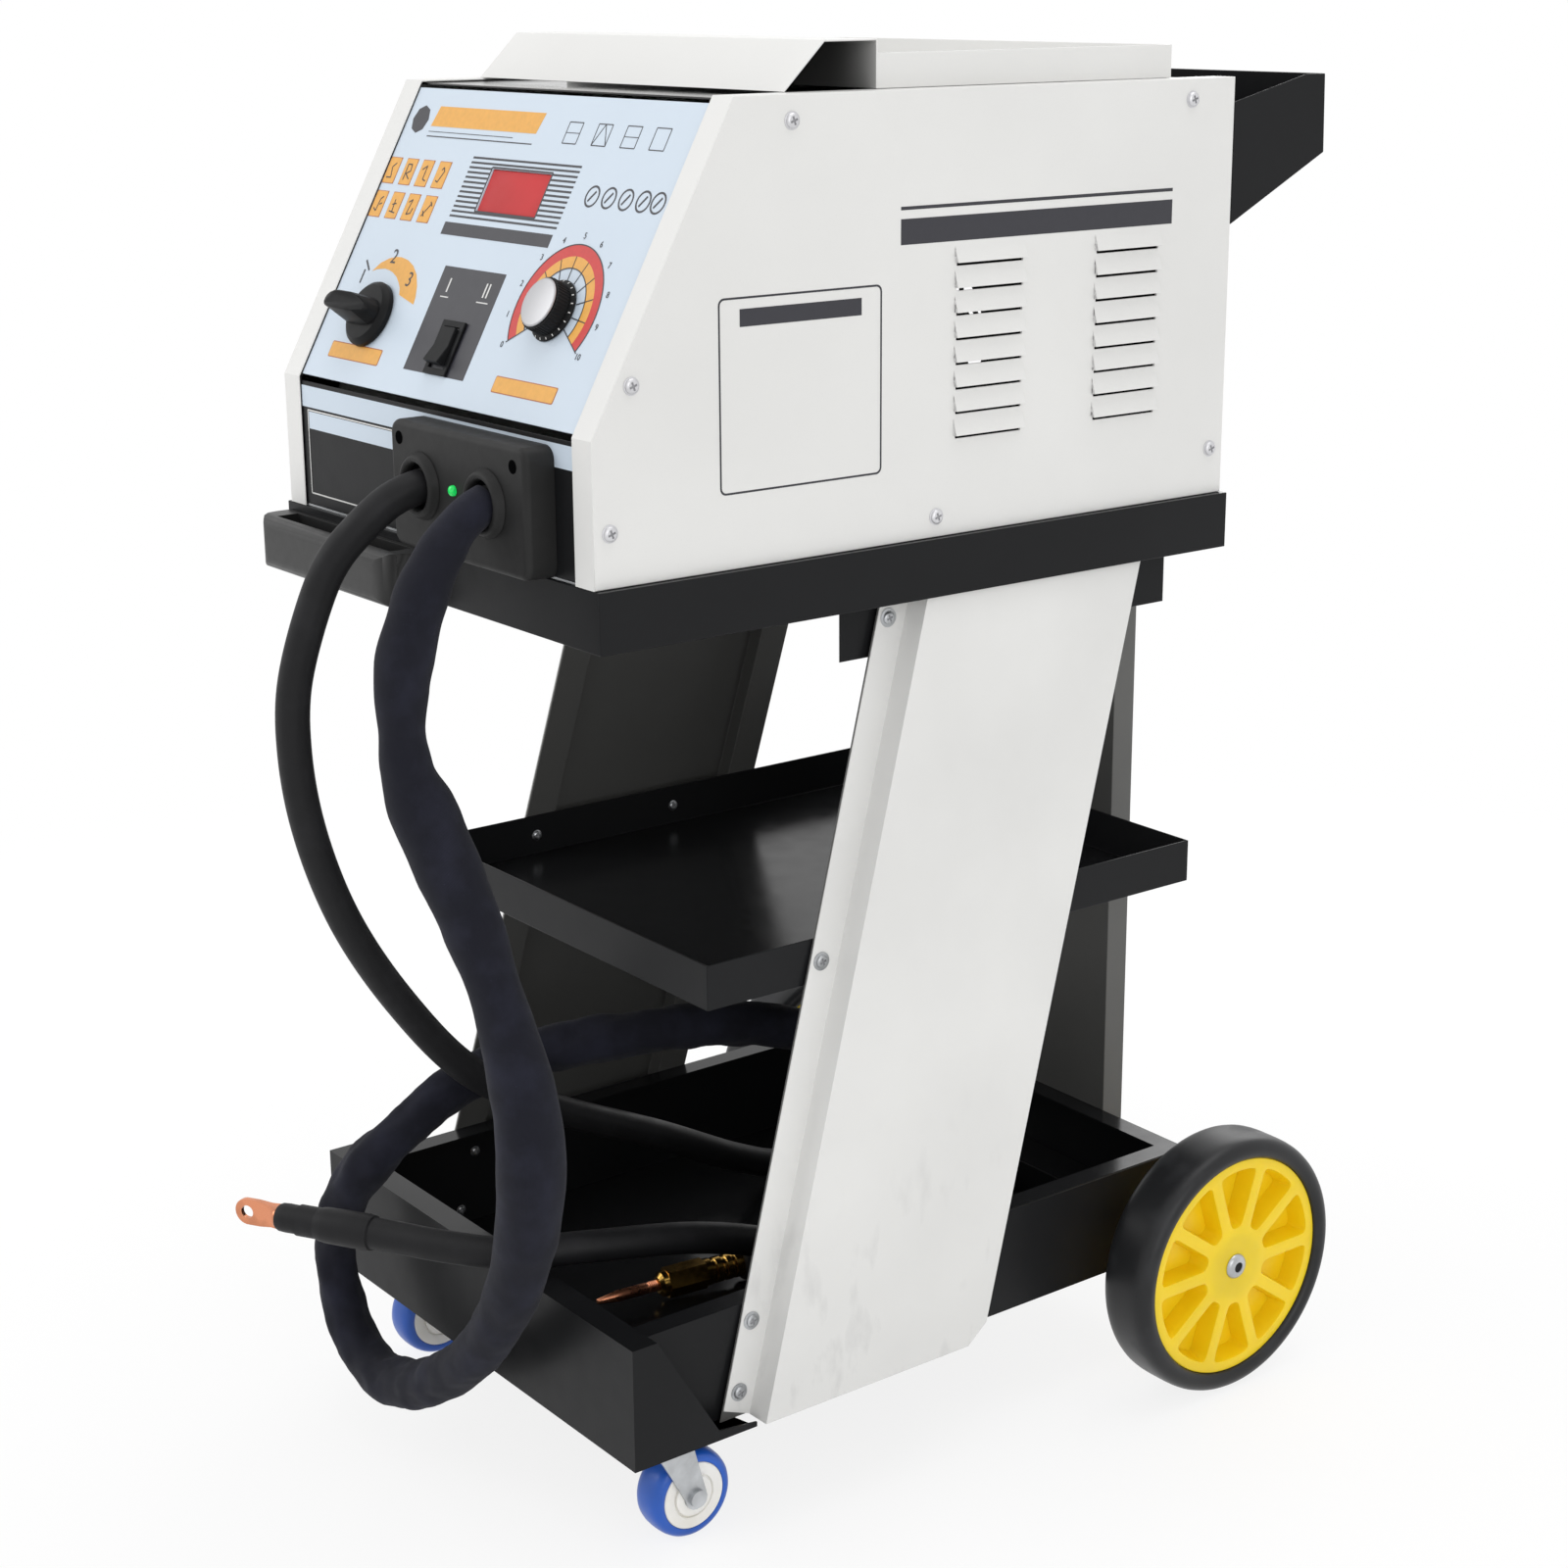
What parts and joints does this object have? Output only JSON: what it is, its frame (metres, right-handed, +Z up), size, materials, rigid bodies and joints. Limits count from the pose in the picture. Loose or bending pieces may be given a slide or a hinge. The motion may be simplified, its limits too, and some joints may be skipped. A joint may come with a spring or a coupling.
{
  "type": "dent pulling spot welder",
  "caption": "Spot welder for pulling dents, on a wheeled trolley with trays, shelf, bin, knobs, rocker, earth cable and torch.",
  "frame": {"origin": "bottom centre of the object's box without its cables and what is on them, on the floor", "axes": "+Z up; the control panel faces -Y; +X is the operator's right hand side when facing the panel"},
  "size_m": [0.536, 0.7476, 1.008],
  "materials": {
    "white_paint": "semi-gloss white powder coat",
    "black_paint": "semi-gloss black powder coat",
    "gloss_black_paint": "gloss black paint",
    "grey_paint": "satin dark grey paint",
    "panel_foil": "printed pale blue foil on steel sheet",
    "black_plastic": "matte black moulding",
    "yellow_plastic": "yellow moulded nylon",
    "grey_plastic": "pale grey moulding",
    "red_lens": "red translucent acrylic",
    "green_lens": "green translucent acrylic",
    "circuit_board": "green glass-fibre board with parts on it",
    "tyre_rubber": "solid black rubber",
    "blue_rubber": "blue elastic rubber",
    "black_rubber": "smooth black rubber",
    "sleeve_fabric": "black sewn fabric sleeve round a cable",
    "zinc": "zinc-plated steel",
    "bright_cap": "spun bright aluminium",
    "laminate": "varnished steel laminations",
    "copper": "bare copper",
    "winding": "enamelled copper winding",
    "brass": "turned brass"
  },
  "bodies": {
    "trolley": {"lower_tray": "black_paint", "axle_cover": "black_paint", "middle_shelf": "black_paint", "machine_tray": "black_paint", "rail_left": "black_paint", "rail_right": "black_paint", "rear_panel": "grey_paint", "leg_frame_left": "grey_paint", "leg_frame_right": "grey_paint", "leg_cover_left": "white_paint", "leg_cover_right": "white_paint", "rear_axle": "black_paint", "axle_cap_left": "zinc", "axle_cap_right": "zinc", "caster_plate_left": "zinc", "caster_plate_right": "zinc", "base_pan": "zinc", "side_panel_left": "white_paint", "side_panel_right": "white_paint", "top_cover": "gloss_black_paint", "control_panel": "panel_foil", "display_window": "red_lens", "lower_front_panel": "black_paint", "front_handle": "black_plastic", "cable_outlet_block": "black_plastic", "gland_earth": "black_rubber", "gland_torch": "black_rubber", "power_lamp": "green_lens", "back_panel": "black_paint", "mains_gland": "black_plastic", "rear_bin": "black_paint", "tool_tray": "white_paint", "selector_switch": "grey_plastic", "timer_pot": "zinc", "rocker_housing": "black_plastic", "transformer_core": "laminate", "transformer_coil": "winding", "fan_frame": "black_plastic", "control_board": "circuit_board", "earth_cable": "black_rubber", "earth_lug": "copper", "torch_cable": "sleeve_fabric", "torch_grip": "black_plastic", "torch_nut": "brass", "torch_tip": "copper"},
    "rear_wheel_left": {"wheel_hub_left": "yellow_plastic", "tyre_left": "tyre_rubber"},
    "rear_wheel_right": {"wheel_hub_right": "yellow_plastic", "tyre_right": "tyre_rubber"},
    "caster_swivel_left": {"caster_fork_left": "zinc"},
    "caster_swivel_right": {"caster_fork_right": "zinc"},
    "caster_wheel_left": {"caster_core_left": "grey_plastic", "caster_tread_left": "blue_rubber"},
    "caster_wheel_right": {"caster_core_right": "grey_plastic", "caster_tread_right": "blue_rubber"},
    "selector": {"selector_knob": "black_plastic"},
    "timer": {"timer_knob": "black_plastic", "timer_cap": "bright_cap"},
    "mode_rocker": {"rocker": "black_plastic"},
    "fan": {"fan_blades": "black_plastic"}
  },
  "joints": [
    {"name": "rear_wheel_left_spin", "type": "hinge", "parent": "trolley", "child": "rear_wheel_left", "pos_m": [-0.2445, 0.21935, 0.102], "axis": [1, 0, 0], "continuous": true},
    {"name": "caster_left_swivel", "type": "hinge", "parent": "trolley", "child": "caster_swivel_left", "pos_m": [-0.171, -0.25265, 0.08], "axis": [0, 0, 1], "continuous": true},
    {"name": "caster_left_spin", "type": "hinge", "parent": "caster_swivel_left", "child": "caster_wheel_left", "pos_m": [-0.171, -0.23165, 0.033], "axis": [1, 0, 0], "continuous": true},
    {"name": "rear_wheel_right_spin", "type": "hinge", "parent": "trolley", "child": "rear_wheel_right", "pos_m": [0.2445, 0.21935, 0.102], "axis": [1, 0, 0], "continuous": true},
    {"name": "caster_right_swivel", "type": "hinge", "parent": "trolley", "child": "caster_swivel_right", "pos_m": [0.171, -0.25265, 0.08], "axis": [0, 0, 1], "continuous": true},
    {"name": "caster_right_spin", "type": "hinge", "parent": "caster_swivel_right", "child": "caster_wheel_right", "pos_m": [0.171, -0.23165, 0.033], "axis": [1, 0, 0], "continuous": true},
    {"name": "selector_turn", "type": "hinge", "parent": "trolley", "child": "selector", "pos_m": [-0.113, -0.27719, 0.82448], "axis": [0, -0.8771, 0.4804], "range_deg": [-135, 0]},
    {"name": "timer_turn", "type": "hinge", "parent": "trolley", "child": "timer", "pos_m": [0.101, -0.26566, 0.84553], "axis": [0, -0.8771, 0.4804], "range_deg": [-246, 0]},
    {"name": "mode_rocker_tilt", "type": "hinge", "parent": "trolley", "child": "mode_rocker", "pos_m": [-0.005, -0.28186, 0.81222], "axis": [1, 0, 0], "range_deg": [0, 15.9]},
    {"name": "fan_spin", "type": "hinge", "parent": "trolley", "child": "fan", "pos_m": [-0.09, 0.22535, 0.776], "axis": [0, 1, 0], "continuous": true}
  ]
}
